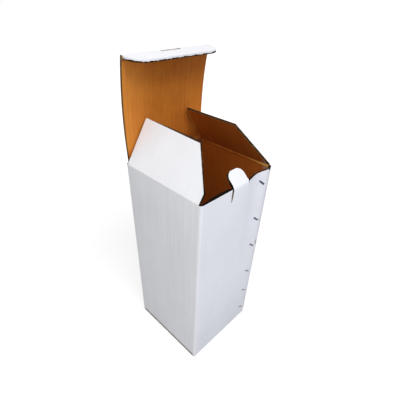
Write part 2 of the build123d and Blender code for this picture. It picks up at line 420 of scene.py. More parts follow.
def paintWhite():
    p = Paint("whiteLiner", Roughness=0.55)
    across = p.part(p.flutes(), "X")
    streaks = p.noise(p.stretch(p.flutes(), (220, 9, 1)), 1, 3)
    broad = p.noise(p.stretch(p.flutes(), (60, 3, 1)), 1, 2)
    clouds = p.noise(p.place(), 28, 3)
    wave = p.sine(across * (2 * pi / board["pitch"]))
    patches = p.noise(p.place(), 9, 2)
    lines = (streaks - 0.5) * 0.7 + (broad - 0.5) * 0.5 + wave * 0.04
    x, y, z = (p.part(p.place(), letter) for letter in "XYZ")
    lined = p.fade(x, *white["leftWall"]) * 0.5 + 0.25  # the fluting shows most on the left wall
    shade = lines * lined + (clouds - 0.5) * 0.35 + (patches - 0.5) * 0.45 + 0.25
    colour = p.mix(shade, white["colour"], white["wearAndShade"])
    # Painted shade at the margins: beside the stitches, along the foot and under the tuck flap's edge
    specks = p.noise(p.place(), 420, 3, 0.6)
    stepShade = p.fade(y, *white["frontWall"]) * p.fade(x, *white["stepShadeFrom"])
    foot = p.fade(z, *white["footRise"]) * p.fade(specks, 0.42, 0.60)
    colour = p.mix(stepShade * 0.3, colour, white["stepShade"])
    colour = p.mix(foot * 0.5, colour, white["paintedShade"])
    blobs = p.noise(p.stretch(p.place(), (210, 30, 1)), 1, 1)
    alongX, alongY = white["tuckSlope"]
    level = z - x * alongX - y * alongY  # even over the top of the tuck flap
    onTuck = p.fade(z, *white["tuckHeight"]) * p.fade(y, *white["tuckFront"])
    fringe = onTuck * p.fade(level, *white["tuckEdge"])
    colour = p.mix(fringe * p.fade(blobs, 0.46, 0.62) * 0.6, colour, white["paintedShade"])
    # Painted shadows in the gap by the raw edge, below two of the stitches
    for centre, radius in white["gapShadows"]:
        gapShadow = p.fade(p.spot(centre, radius, white["gapShadowSqueeze"]) * (specks + 0.5), 0.15, 0.45)
        colour = p.mix(gapShadow * 0.85, colour, white["paintedShade"])
    # Painted shade on the tongue's white side
    acrossTongue = p.fade(x, *white["tongueLeft"]) * p.fade(x, *white["tongueRight"])
    onTongue = acrossTongue * p.fade(y, *white["tongueFront"]) * p.fade(z, *white["tongueRise"])
    colour = p.mix(onTongue * 0.35, colour, white["wearAndShade"])
    # The liner is torn back along the left side of the slit
    slitX, slitZ = white["slitTop"]
    beside = x - slitX + (slitZ - z) * white["slitSlope"]
    strip = p.fade(beside, *white["tornFrom"]) * p.fade(x, *white["tornTo"])
    torn = strip * p.fade(z, *white["tornRise"]) * p.fade(y, *white["tornFront"])
    colour = p.mix(torn * 0.85, colour, white["torn"])
    patch = p.fade(p.spot(*white["rawCorner"]) * (specks + 0.5), 0.25, 0.45)
    p.give("Base Color", p.mix(patch * 0.8, colour, white["raw"]))
    p.give("Roughness", clouds * 0.15 + 0.48)
    grain = p.noise(p.place(), 900, 2)
    p.bump(wave * 0.35 + grain * 0.35 + streaks * 0.3, 0.45, white["washboard"])
    return p.material


kraft = {
    "light": (0.64, 0.24, 0.028),
    "colour": (0.53, 0.163, 0.014),
    "dark": (0.37, 0.094, 0.008),
    # painted shade for the kraft inside the box
    "deep": (0.35, 0.076, 0.008),
    "fibre": (0.24, 0.072, 0.009),
    # pale kraft for the rubbed edges, also painted light on the lid
    "paleRubbedAndLit": (0.74, 0.31, 0.06),
    "beige": (0.50, 0.42, 0.32),
    "dirty": (0.28, 0.24, 0.21),
    "lidHeight": (0.290, 0.300),
    "lidBack": (0.040, 0.050),
    # painted light on the lid's left side and painted shade on its right
    "paintedLightTo": (-0.015, -0.060),
    "paintedShadeTo": (-0.030, 0.055),
    "lidRightEdge": (0.0632, 0.0645),
    "rubbedBack": ((0.0570, 0.0585), (0.0601, 0.0599)),
    "rubbedFrom": (0.026, 0.034),
    "rubbedHeight": ((0.283, 0.286), (0.330, 0.322)),
    "slotHeight": (0.3950, 0.3965),
    "wornCorner": ((0.064, -0.058, 0.284), 0.016),
}


def paintKraft():
    p = Paint("kraftLiner", Specular_IOR_Level=0.2)
    across = p.part(p.flutes(), "X")
    streaks = p.noise(p.stretch(p.flutes(), (260, 10, 1)), 1, 3)
    clouds = p.noise(p.place(), 22, 4, 0.6)
    fibres = p.noise(p.stretch(p.flutes(), (500, 1600, 1)), 1, 2)
    wave = p.sine(across * (2 * pi / board["pitch"])) * 0.5 + 0.5
    glue = wave**3
    mottle = p.noise(p.stretch(p.flutes(), (95, 38, 1)), 1, 3, 0.6)
    tone = clouds * 0.4 + streaks * 0.3 + mottle * 0.3
    colour = p.ramp(tone, (0.3, kraft["dark"]), (0.5, kraft["colour"]), (0.72, kraft["light"]))
    flecks = p.ramp(fibres, (0.62, (0, 0, 0)), (0.70, (1, 1, 1)))
    colour = p.mix(flecks * 0.45, colour, kraft["fibre"])
    colour = p.mix(glue * 0.16, colour, kraft["dark"])
    # The lid has painted light towards its left side and painted shade towards its right, and the right
    # flap's edges are rubbed pale
    x, y, z = (p.part(p.place(), letter) for letter in "XYZ")
    onLid = p.fade(z, *kraft["lidHeight"]) * p.fade(y, *kraft["lidBack"])
    colour = p.mix(onLid * p.fade(x, *kraft["paintedLightTo"]) * 0.35, colour, kraft["paleRubbedAndLit"])
    colour = p.mix(onLid * p.fade(x, *kraft["paintedShadeTo"]) * 0.45, colour, kraft["dark"])
    # Painted shade on the kraft inside the box, away from the lid
    colour = p.mix((1 - onLid) * 0.65, colour, kraft["deep"])
    # The lid is darker along its right edge
    colour = p.mix(onLid * p.fade(x, *kraft["lidRightEdge"]) * 0.6, colour, kraft["fibre"])
    rubbed = p.fade(x, *kraft["rubbedFrom"])
    for value, pairs in ((y, kraft["rubbedBack"]), (z, kraft["rubbedHeight"])):
        for pair in pairs:
            rubbed = rubbed * p.fade(value, *pair)
    colour = p.mix(rubbed * 0.9, colour, kraft["paleRubbedAndLit"])
    colour = p.mix(p.fade(z, *cutFoot), colour, kraft["dirty"])
    colour = p.mix(aroundSlot(p) * p.fade(z, *kraft["slotHeight"]), colour, slotEdge["colour"])
    corner = p.fade(p.spot(*kraft["wornCorner"]) * (clouds + 0.5), 0.15, 0.75)
    p.give("Base Color", p.mix(corner * 0.9, colour, kraft["beige"]))
    p.give("Roughness", streaks * 0.2 + 0.7)
    p.bump(wave * 0.6 + fibres * 0.3, 0.5, 0.00008)
    return p.material


creased = {
    "dark": (0.38, 0.10, 0.012),
    "light": (0.54, 0.18, 0.026),
    "inside": (0.55, 0.15, 0.02),
    "insideDrop": (0.281, 0.275),
    "frayed": (0.90, 0.50, 0.10),
    "frayedEnd": ((0.062, -0.056, 0.282), 0.030),
}


def paintCrease():  # kraft liner stretched pale along a fold
    p = Paint("creasedKraft", Specular_IOR_Level=0.2)
    clouds = p.noise(p.place(), 90, 3, 0.6)
    colour = p.ramp(clouds, (0.3, creased["dark"]), (0.6, creased["light"]))
    inside = p.fade(p.part(p.place(), "Z"), *creased["insideDrop"])
    colour = p.mix(inside * 0.5, colour, creased["inside"])
    p.give("Base Color", p.mix(p.spot(*creased["frayedEnd"]), colour, creased["frayed"]))
    p.give("Roughness", clouds * 0.2 + 0.65)
    p.bump(clouds, 0.4, 0.0001)
    return p.material


# Cut edges that differ from the rest: a colour, its share, and where it lies along X, Y and Z
edges = {
    "lidSide": ((0.55, 0.36, 0.16), 0.9, (-0.060, -0.064), (0.048, 0.052), (0.288, 0.296)),
    "rightFlap": ((0.17, 0.10, 0.035), 0.5, (0.020, 0.026), (0.0555, 0.0540), (0.284, 0.288)),
    # painted shade along the front rim, left of the tongue
    "frontRimShade": ((0.008, 0.004, 0.002), 1.0, (0.000, -0.012), (-0.054, -0.057), (0.270, 0.276)),
}
# The papers inside the board and their cut edges are painted near black, as painted shade of the flute
# hollows
edgePaper = {
    "foot": (0.34, 0.30, 0.27),
    "fluteShadeDark": (0.028, 0.010, 0.003),
    "fluteShadeLight": (0.075, 0.027, 0.008),
    "dark": (0.03, 0.011, 0.003),
    "middlingShade": (0.08, 0.031, 0.009),
    "light": (0.28, 0.15, 0.07),
}


def shadeEdges(p, colour):
    x, y, z = (p.part(p.place(), letter) for letter in "XYZ")
    colour = p.mix(aroundSlot(p), colour, slotEdge["colour"])
    colour = p.mix(p.fade(z, *cutFoot) * 0.8, colour, edgePaper["foot"])
    for tint, share, alongX, alongY, alongZ in edges.values():
        place = p.fade(x, *alongX) * p.fade(y, *alongY) * p.fade(z, *alongZ)
        colour = p.mix(place * share, colour, tint)
    return colour


# The fluting is painted near black: painted shade in the flute hollows
def paintFlutes():
    p = Paint("flutePaper", Specular_IOR_Level=0.2)
    clouds = p.noise(p.place(), 160, 3)
    colour = p.ramp(clouds, (0.35, edgePaper["fluteShadeDark"]), (0.7, edgePaper["fluteShadeLight"]))
    p.give("Base Color", shadeEdges(p, colour))
    p.give("Roughness", clouds * 0.15 + 0.78)
    p.bump(clouds, 0.4, 0.00005)
    return p.material


# The cut paper is painted mostly dark: painted shade in the flute hollows
def paintCut():  # the cut edges of the papers
    p = Paint("cutPaper", Specular_IOR_Level=0.15)
    clouds = p.noise(p.place(), 240, 3, 0.6)
    shades = (edgePaper[shade] for shade in ("dark", "middlingShade", "light"))
    colour = p.ramp(clouds, *zip((0.35, 0.55, 0.75), shades))
    p.give("Base Color", shadeEdges(p, colour))
    p.give("Roughness", clouds * 0.1 + 0.85)
    p.bump(clouds, 0.5, 0.00008)
    return p.material


steel = {
    "dark": (0.07, 0.08, 0.11),
    "light": (0.26, 0.28, 0.34),
    "lighterLow": (0.56, 0.55, 0.60),
    "lighterBelow": (0.22, 0.10),
}


def paintWire():
    p = Paint("stitchWire", Metallic=0.85)
    clouds = p.noise(p.place(), 260, 2)
    scratches = p.noise(p.stretch(p.place(), (700, 700, 200)), 1, 2)
    colour = p.ramp(clouds, (0.35, steel["dark"]), (0.7, steel["light"]))
    # The wire is lighter towards the bottom
    low = p.fade(p.part(p.place(), "Z"), *steel["lighterBelow"])
    p.give("Base Color", p.mix(low * 0.75, colour, steel["lighterLow"]))
    p.give("Roughness", scratches * 0.3 + 0.32)
    p.bump(scratches, 0.3, 0.00003)
    return p.material


whiteLiner = paintWhite()
kraftLiner = paintKraft()
flutePaper = paintFlutes()
cutPaper = paintCut()
creasedKraft = paintCrease()
stitchWire = paintWire()
print("materials made")


# The folded sheet: walls, lap, bottom flaps and lock tongue

body = {
    "frontInset": 0.010,
    "lapGap": 0.0002,
    "lapReach": 0.037,
    "lapDrop": 0.0045,
    "lapFoot": 0.0015,
    "cornerSteps": 5,
    "cornerFoot": 0.0029,
    "outerSeam": 0.001,
    "innerSeam": 0.004,
    "flapSide": 0.003,
    "rows": (0.110, 0.150, 0.180, 0.205, 0.225, 0.240, 0.252, 0.262, 0.271),
    "columnStep": 0.008,
    "flapSteps": 4,
}
tongue = {
    "half": 0.0135,
    "root": 0.0028,
    "bend": 0.003,
    "lean": 48,
    "length": 0.0174,
    "corner": 0.010,
    "cornerCuts": 7,
    "bendSteps": 4,
    "sideCut": 0.0006,
    "parted": 0.0016,
    "partedFrom": -0.052,
    "partedTo": -0.017,
    "slitWidth": 0.0022,
    "slitFoot": 0.0009,
    "slitDepth": 0.017,
    "slitDrift": 0.002,
    "rubbed": 0.0005,
}
frontEdge = halfWidth - body["frontInset"]
lapFace = -halfDepth + thick + body["lapGap"]
lapInside = lapFace + thick
lapEnd = halfWidth - body["lapReach"]
rightStart = lapFace + foldOut


def drawWalls(obj):  # the free edge goes round the tube, and ends as the lap
    pick(obj, "VERT", lambda v: near(v.co.x, -straightX))
    steps = (
        ((-straightX, -straightY), (0, 2 * straightY, 0)),
        ((-straightX, straightY), (2 * straightX, 0, 0)),
        ((straightX, straightY), (0, rightStart - straightY, 0)),
        ((straightX, rightStart), (lapEnd - straightX, 0, 0)),
    )
    for (x, y), run in steps:
        turn((x, y, 0), (0, 0, 1), -90, body["cornerSteps"])
        draw(run)


def fluteWalls(obj):
    top = lidFold.z
    walls = (
        ((-straightX, -halfDepth), (1, 0), (0, -1), frontEdge + straightX),
        ((-halfWidth, -straightY), (0, 1), (-1, 0), 2 * straightY),
        ((-straightX, halfDepth), (1, 0), (0, 1), 2 * straightX),
        ((halfWidth, rightStart), (0, 1), (1, 0), straightY - rightStart),
        ((lapEnd, lapFace), (1, 0), (0, -1), straightX - lapEnd),
    )
    for start, direction, normal, length in walls:
        corrugate(obj, Vector((*start, top / 2)), Vector((*direction, 0)), Vector((*normal, 0)), length)


def onFront(e):
    return middle(e).y < -halfDepth + thick and middle(e).x < frontEdge


def onLap(e):
    c = middle(e)
    return -halfDepth + thick < c.y < lapInside and lapEnd < c.x < straightX


def onLeft(e):
    c = middle(e)
    return c.x < -halfWidth + thick and abs(c.y) < straightY


def onRight(e):
    c = middle(e)
    return c.x > halfWidth - thick and rightStart < c.y < straightY


def onBack(e):
    c = middle(e)
    return c.y > halfDepth - thick and abs(c.x) < straightX


def trimWalls(obj):
    cut(obj, lambda f: not onBack(f) and not onLap(f), Vector((0, 0, rim)), up, drop=True)
    cut(obj, onLap, Vector((0, 0, rim - body["lapDrop"])), up, drop=True)
    cut(obj, onLap, Vector((0, 0, 2 * thick + body["lapFoot"])), -up, drop=True)
    for wall in (onLeft, onRight):
        cut(obj, wall, Vector((0, 0, thick + foldOut)), -up, drop=True)
    for z in body["rows"]:
        cut(obj, lambda f: onFront(f) or onLap(f), Vector((0, 0, z)), up)

    def bendingLiner(f):
        return (onFront(f) or onLap(f)) and f.material_index != fluteLayer

    x = -straightX + body["columnStep"]
    while x < frontEdge:
        cut(obj, bendingLiner, Vector((x, 0, 0)), wide)
        x += body["columnStep"]
    # The hinged folds are mitred on their inner side
    slope = tan(radians(board["mitre"]))
    cut(obj, onLeft, leftFold - up * gap, Vector((slope, 0, 1)), drop=True)
    cut(obj, onRight, rightFold - up * gap, Vector((-slope, 0, 1)), drop=True)
    cut(obj, onBack, lidFold - up * gap, Vector((0, -slope, 1)), drop=True)


def drawBottom(obj):
    low, high = foldOut, thick + foldOut

    def foot(z, test):
        return lambda v: near(v.co.z, z) and test(v.co)

    inFront = foot(low, lambda p: p.y < -halfDepth + thick and p.x > -straightX - paper / 10)
    inBack = foot(low, lambda p: p.y > halfDepth - thick and abs(p.x) < straightX + paper / 10)
    inLeft = foot(high, lambda p: p.x < -halfWidth + thick and abs(p.y) < straightY + paper / 10)
    inRight = foot(high, lambda p: p.x > halfWidth - thick and p.y > rightStart - paper / 10)
    outerRun = straightY - body["outerSeam"] / 2
    innerRun = straightX - body["innerSeam"] / 2
    flaps = (
        (inFront, (0, -straightY, low), (1, 0, 0), 90, (0, outerRun, 0)),
        (inBack, (0, straightY, low), (1, 0, 0), -90, (0, -outerRun, 0)),
        (inLeft, (-straightX, 0, high), (0, 1, 0), -90, (innerRun, 0, 0)),
        (inRight, (straightX, 0, high), (0, 1, 0), 90, (-innerRun, 0, 0)),
    )
    for test, centre, axis, angle, run in flaps:
        pick(obj, "VERT", test)
        turn(centre, axis, angle, body["flapSteps"])
        draw(run)
    # The vertical folds reach down to the slots between the flaps
    pick(obj, "VERT", lambda v: near(v.co.z, low) and abs(v.co.x) > straightX - paper / 10
         and (v.co.y > straightY - paper / 10 or (v.co.x < 0 and v.co.y < -straightY + paper / 10)))
    draw((0, 0, -body["cornerFoot"]))
    # The outer flaps are as wide as the panels
    for side in (-1, 1):
        pick(obj, "EDGE", lambda e: e.is_boundary and near(middle(e).x, side * straightX)
             and middle(e).z < thick and abs(middle(e).y) < straightY - paper
             and abs(e.verts[0].co.y - e.verts[1].co.y) > foldOut)
        draw((side * body["flapSide"], 0, 0))


def drawTongue(obj):
    half, root = tongue["half"], rim - tongue["root"]
    side = half + tongue["sideCut"]
    slitFoot = rim - tongue["slitDepth"]

    def around(f):
        return onFront(f) and abs(middle(f).x) < 2 * half

    for z in (root, slitFoot):
        cut(obj, around, Vector((0, 0, z)), up)
    for x in (-half, half, side):
        cut(obj, lambda f: around(f) and middle(f).z > root, Vector((x, 0, 0)), wide)
    remove(obj, lambda f: around(f) and middle(f).z > root and -half < middle(f).x < side)
    # The slit drifts to the left as it runs down
    run = tongue["slitDepth"] - tongue["root"]
    narrows = tongue["slitWidth"] - tongue["slitFoot"]
    rightTop = Vector((-half, 0, root))
    leftTop = Vector((-half - tongue["slitWidth"], 0, root))
    rightSide = Vector((run, 0, -tongue["slitDrift"]))
    leftSide = Vector((run, 0, narrows - tongue["slitDrift"]))

    def beside(f):
        return around(f) and middle(f).z > slitFoot and middle(f).x < 0

    def inSlit(f):
        c = middle(f)
        return beside(f) and (c - rightTop).dot(rightSide) < 0 < (c - leftTop).dot(leftSide)

    cut(obj, beside, rightTop, rightSide)
    cut(obj, beside, leftTop, leftSide)
    remove(obj, inSlit)
    # The inner liner has parted from the fluting to the left of the tongue
    lastRow = body["rows"][-1]
    for z in (rim, root):
        def parted(v):
            inner = v.co.y < -halfDepth + thick and layerOf(v) == innerLayer
            return inner and near(v.co.z, z) and tongue["partedFrom"] < v.co.x < tongue["partedTo"]

        share = (z - lastRow) / (rim - lastRow)
        if pick(obj, "VERT", parted):
            bpy.ops.transform.translate(value=(0, share * tongue["parted"], 0))
    # The tongue bends inwards at its root
    lean = radians(tongue["lean"])
    centre = Vector((0, -halfDepth + thick + tongue["bend"], root))
    pick(obj, "VERT", lambda v: near(v.co.z, root) and abs(v.co.x) < half + paper / 10
         and v.co.y < -halfDepth + thick)
    turn(centre, (1, 0, 0), -tongue["lean"], tongue["bendSteps"])
    along = Vector((0, sin(lean), cos(lean)))
    draw(along * tongue["length"])
    reach = thick + tongue["bend"]
    start = centre + Vector((0, -cos(lean), sin(lean))) * reach
    tip = start + along * (tongue["length"] - tongue["corner"])

    def onTongue(f):
        c = middle(f)
        return (c - start).dot(along) > 0 and abs(c.x) < half and c.y < -halfDepth / 2

    def whiteTongue(f):
        return onTongue(f) and onWhite(f)

    for side in (-1, 1):
        across = Vector((side, 0, 0))
        centre = tip + across * (half - tongue["corner"])
        roundCorner(obj, onTongue, centre, tongue["corner"], across, along, tongue["cornerCuts"])
        # The white liner stops a little short of the edge
        radius = tongue["corner"] - tongue["rubbed"]
        cut(obj, whiteTongue, centre + across * radius, across, drop=True)
        cut(obj, whiteTongue, centre + along * radius, along, drop=True)
        roundCorner(obj, whiteTongue, centre, radius, across, along, tongue["cornerCuts"])


def makeBody():
    size = (frontEdge + straightX, lidFold.z - foldOut)
    place = Vector(((frontEdge - straightX) / 2, -halfDepth, (foldOut + lidFold.z) / 2))
    obj = threeSheets("box_board", size, place, Vector((0, -1, 0)), (pi / 2, 0, 0))
    openEdit(obj)
    drawWalls(obj)
    fluteWalls(obj)
    trimWalls(obj)
    drawBottom(obj)
    drawTongue(obj)
    closeEdit()
    return obj


boxBoard = makeBody()
print("walls folded", len(boxBoard.data.polygons))


# Flat boards, drawn with the fold along Y, the flutes along X and the outer side up

def flatBoard(name, length, width):
    obj = threeSheets(name, (length, width), Vector((length / 2, 0, 0)), Vector((0, 0, 1)))
    openEdit(obj)
    corrugate(obj, Vector((0, -width / 2, 0)), Vector((0, 1, 0)), Vector((0, 0, 1)), width)
    return obj


def putAt(obj, origin, away, outward):  # away and outward are the board's X and Z
    side = outward.cross(away)
    obj.matrix_world = Matrix.Translation(origin) @ Matrix((away, side, outward)).transposed().to_4x4()
    only(obj)
    bpy.ops.object.transform_apply(location=True, rotation=True, scale=True)


dustFlap = {
    "depth": 0.0585,
    "half": 0.0596,
    "corner": 0.002,
    "cornerCuts": 3,
    "tilt": 57,
}
leftShape = {"side": -1, "front": 0.0596, "shoulder": 0.0125, "taper": 34.5, "rubbed": 0.0027}
rightShape = {"side": 1, "front": 0.0564, "shoulder": 0.003, "taper": 33, "rubbed": 0.0002}


def flapDirections(side):  # away from the fold, and out of the white side
    lean = radians(dustFlap["tilt"])
    return Vector((-side * cos(lean), 0, sin(lean))), Vector((side * sin(lean), 0, cos(lean)))


def makeDustFlap(name, fold, shape):  # the front lies towards local +Y on the right, -Y on the left
    half, depth, radius = dustFlap["half"], dustFlap["depth"], dustFlap["corner"]
    side, front = shape["side"], shape["front"]
    slope = radians(shape["taper"])
    obj = flatBoard(name, depth, front + half)
    bpy.ops.mesh.select_all(action="SELECT")
    bpy.ops.transform.translate(value=(0, side * (front - half) / 2, 0))
    mitred = Vector((-1, 0, -tan(radians(board["mitre"]))))
    cut(obj, everywhere, Vector((gap + paper / 4, 0, 0)), mitred, drop=True)
    start = Vector((shape["shoulder"], side * front, 0))
    cut(obj, everywhere, start, Vector((sin(slope), side * cos(slope), 0)), drop=True)
    back = Vector((depth - radius, -side * (half - radius), 0))
    roundCorner(obj, everywhere, back, radius, wide, Vector((0, -side, 0)), dustFlap["cornerCuts"])
    # The white liner is rubbed back along the free edge, most at the front
    tip = Vector((depth - shape["rubbed"], side * (front - (depth - shape["shoulder"]) * tan(slope)), 0))
    slant = shape["rubbed"] / (half + side * tip.y)
    cut(obj, onWhite, tip, Vector((1, side * slant, 0)), drop=True)
    closeEdit()
    putAt(obj, fold, *flapDirections(side))
    return obj


leftFlap = makeDustFlap("left_flap_board", leftFold, leftShape)
rightFlap = makeDustFlap("right_flap_board", rightFold, rightShape)
print("dust flaps made")


# The tuck flap

tuck = {
    "depth": 0.0255,
    "droop": 5.5,
    "corner": 0.019,
    "cornerCuts": 9,
    "slotHalf": 0.014,
    "slotDepth": 0.006,
    "slotCorner": 0.002,
    "fringe": 0.0021,
    "fringeCuts": ((0.010, 16), (0.003, 3)),  # how many, in edges longer than this
    "ragged": 0.0005,
    "ragWaves": ((0.5, 420, 0.6), (0.35, 1130, 0), (0.2, 1900, 1)),  # height, rate, start
    "bareFrom": 0.040,
    "bareShare": 0.6,
}
droop = radians(tuck["droop"])
tuckAway = Vector((0, -cos(droop), -sin(droop)))
tuckOut = Vector((0, -sin(droop), cos(droop)))


def drawFringe(obj):  # the white liner is pressed down over the free edge, and ends raggedly
    deep, half = tuck["slotDepth"], tuck["slotHalf"]
    mitreEnd = gap + tuck["fringe"] * tan(radians(board["tuckMitre"]))

    def free(e, start):
        c = middle(e)
        inSlot = c.x < deep + paper and abs(c.y) < half + paper
        started = min(v.co.x for v in e.verts) > start
        return e.is_boundary and onWhite(e.link_faces[0]) and started and not inSlot

    for longest, cuts in tuck["fringeCuts"]:
        if pick(obj, "EDGE", lambda e: free(e, gap) and e.calc_length() > longest):
            bpy.ops.mesh.subdivide(number_cuts=cuts)
    pick(obj, "EDGE", lambda e: free(e, mitreEnd))
    draw((0, 0, -tuck["fringe"]))
    mesh = bmesh.from_edit_mesh(obj.data)
    for v in mesh.verts:
        if v.co.z < -tuck["fringe"] and layerOf(v) == outerLayer:
            waves = 1 + sum(high * sin(v.co.y * rate + begin) for high, rate, begin in tuck["ragWaves"])
            bare = max(0, v.co.y - tuck["bareFrom"]) / (lidHalf - tuck["bareFrom"])
            v.co.z += tuck["ragged"] * waves + tuck["fringe"] * tuck["bareShare"] * bare
    bmesh.update_edit_mesh(obj.data)


def makeTuck():
    obj = flatBoard("tuck_board", tuck["depth"], 2 * lidHalf)
    slope = tan(radians(board["tuckMitre"]))
    cut(obj, everywhere, Vector((gap, 0, 0)), Vector((-1, 0, -slope)), drop=True)
    half, deep, small = tuck["slotHalf"], tuck["slotDepth"], tuck["slotCorner"]
    away, across = Vector((1, 0, 0)), Vector((0, 1, 0))
    cut(obj, everywhere, away * deep, away)
    for y in (-half, half):
        cut(obj, everywhere, across * y, across)
    # The slot's two far corners are cut off in small steps
    ends = (across, -across)
    for end in ends:
        centre = away * (deep - small) + end * (half - small)
        for degrees in (22.5, 45, 67.5):
            normal = away * sin(radians(degrees)) + end * cos(radians(degrees))
            cut(obj, everywhere, centre + normal * small, normal)

    def pastCorner(f):
        c = middle(f)
        for end in ends:
            rest = c - (away * (deep - small) + end * (half - small))
            rest.z = 0
            if rest.x > 0 and rest.dot(end) > 0 and rest.length > small * 0.99:
                return True
        return False

    remove(obj, lambda f: middle(f).x < deep and abs(middle(f).y) < half and not pastCorner(f))
    for side in (-1, 1):
        centre = Vector((tuck["depth"] - tuck["corner"], side * (lidHalf - tuck["corner"]), 0))
        roundCorner(obj, everywhere, centre, tuck["corner"], across * side, away, tuck["cornerCuts"])
    drawFringe(obj)
    closeEdit()
    putAt(obj, tuckFold, tuckAway, tuckOut)
    return obj


tuckBoard = makeTuck()
print("tuck flap made")


# The lid, bowed backwards

lid = {
    "lean": 3.7,
    "bow": 0.0043,
    "steps": 24,
    "slotDepth": 0.0005,
    "rightRise": 0.0022,
    "stub": 0.01,  # of the sheet that its first edge is taken from
}
lidChord = (tuckFold - lidFold).length
arcRadius = lidChord**2 / (8 * lid["bow"]) + lid["bow"] / 2
arcHalf = asin(lidChord / (2 * arcRadius))
arcLean = radians(lid["lean"])
arcCentre = (lidFold + tuckFold) / 2 + Vector((0, cos(arcLean), sin(arcLean))) * (lid["bow"] - arcRadius)


def onArc(depth, angle):  # angle is measured from the middle of the bow
    around = arcLean + angle
    return arcCentre + Vector((0, cos(around), sin(around))) * (arcRadius - depth)


def makeLid():
    sheets = []
    outward = Vector((0, cos(arcLean - arcHalf), sin(arcLean - arcHalf)))
    for number, (depth, paint) in enumerate(zip(layerDepths, (whiteLiner, flutePaper, kraftLiner))):
        bpy.ops.mesh.primitive_plane_add(size=1, location=onArc(depth, -arcHalf))
        sheet = bpy.context.object
        sheet.scale = (2 * lidHalf, lid["stub"], 1)
        bpy.ops.object.transform_apply(location=True, rotation=True, scale=True)
        sheet.data.materials.append(paint)
        openEdit(sheet)
        line = onArc(depth, -arcHalf)
        pick(sheet, "VERT", lambda v: v.co.y < line.y)
        bpy.ops.mesh.delete(type="VERT")
        pick(sheet, "VERT", everywhere)
        bpy.ops.transform.translate(value=(0, -lid["stub"] / 2, 0))
        if number == fluteLayer:
            flutes = round(2 * lidHalf / board["pitch"])
            for parts in (flutes, board["columns"]):
                pick(sheet, "EDGE", everywhere)
                bpy.ops.mesh.subdivide(number_cuts=parts - 1)
            step = 2 * lidHalf / (flutes * board["columns"])
            for phase in range(1, board["columns"]):
                rise = waveHeight * sin(2 * pi * phase / board["columns"])
                if abs(rise) < paper / 10:
                    continue

                def inPhase(v):
                    return round((v.co.x + lidHalf) / step) % board["columns"] == phase

                pick(sheet, "VERT", inPhase)
                bpy.ops.transform.translate(value=outward * rise)
        pick(sheet, "VERT", everywhere)
        turn(arcCentre, (1, 0, 0), 2 * arcHalf * 180 / pi, lid["steps"])
        closeEdit()
        sheets.append(sheet)
    obj = joinAll(sheets, "lid_board")
    openEdit(obj)
    gapAngle = gap / arcRadius
    lowMitre = (gap + thick * tan(radians(board["mitre"]))) / (arcRadius - thick)
    highMitre = (gap + thick * tan(radians(board["tuckMitre"]))) / (arcRadius - thick)
    ends = (
        (-arcHalf + gapAngle, -arcHalf + lowMitre, -1),
        (arcHalf - gapAngle, arcHalf - highMitre, 1),
    )
    for outerAngle, innerAngle, side in ends:
        a, b = onArc(0, outerAngle), onArc(thick, innerAngle)
        normal = Vector((1, 0, 0)).cross(b - a).normalized()
        if normal.z * side < 0:
            normal = -normal
        cut(obj, everywhere, a, normal, drop=True)
    half = tuck["slotHalf"]
    slotFoot = tuckFold.z - lid["slotDepth"]
    cut(obj, everywhere, Vector((0, 0, slotFoot)), up)
    for x in (-half, half):
        cut(obj, everywhere, Vector((x, 0, 0)), wide)
    remove(obj, lambda f: middle(f).z > slotFoot and abs(middle(f).x) < half)
    closeEdit()
    return obj


lidBoard = makeLid()
print("lid made", len(lidBoard.data.polygons))


# Wire stitches: a flat wire, bent twice, turned in behind the lap

stitch = {
    "width": 0.0022,
    "thick": 0.0006,
    "crown": 0.0129,
    "clinch": 0.005,
    "bend": 0.0005,
    "bendSteps": 4,
    "rounding": 0.3,  # of its thickness
    "clear": 0.00005,
    "slant": -39.5,
    "inset": 0.020,
    "drops": (0.0155, 0.0705, 0.1165, 0.169, 0.2135, 0.257),
}


def makeStitch():
    wire, bend = stitch["thick"], stitch["bend"]
    legX = stitch["crown"] / 2 - wire / 2
    front = -halfDepth - stitch["clear"] - wire / 2
    back = lapInside + stitch["clear"] + wire / 2
    # the wire's end, facing along X
    place = (-legX + stitch["clinch"], back, 0)
    bpy.ops.mesh.primitive_plane_add(size=1, location=place, rotation=(0, pi / 2, 0))
    obj = bpy.context.object
    obj.scale = (stitch["width"], wire, 1)
    bpy.ops.object.transform_apply(location=True, rotation=True, scale=True)
    openEdit(obj)
    bpy.ops.mesh.select_all(action="SELECT")
    bpy.ops.mesh.bevel(offset=wire * stitch["rounding"], segments=2, affect="VERTICES")
    bpy.ops.mesh.select_all(action="SELECT")
    clinchRun, legRun, crownRun = stitch["clinch"] - bend, back - front - 2 * bend, 2 * (legX - bend)
    steps = (
        ((-clinchRun, 0, 0), (-legX + bend, back - bend, 0), 90),
        ((0, -legRun, 0), (-legX + bend, front + bend, 0), 90),
        ((crownRun, 0, 0), (legX - bend, front + bend, 0), 90),
        ((0, legRun, 0), (legX - bend, back - bend, 0), 90),
        ((-clinchRun, 0, 0), None, 0),
    )
    for run, centre, angle in steps:
        draw(run)
        if centre:
            turn(centre, (0, 0, 1), angle, stitch["bendSteps"])
    closeEdit()
    return obj


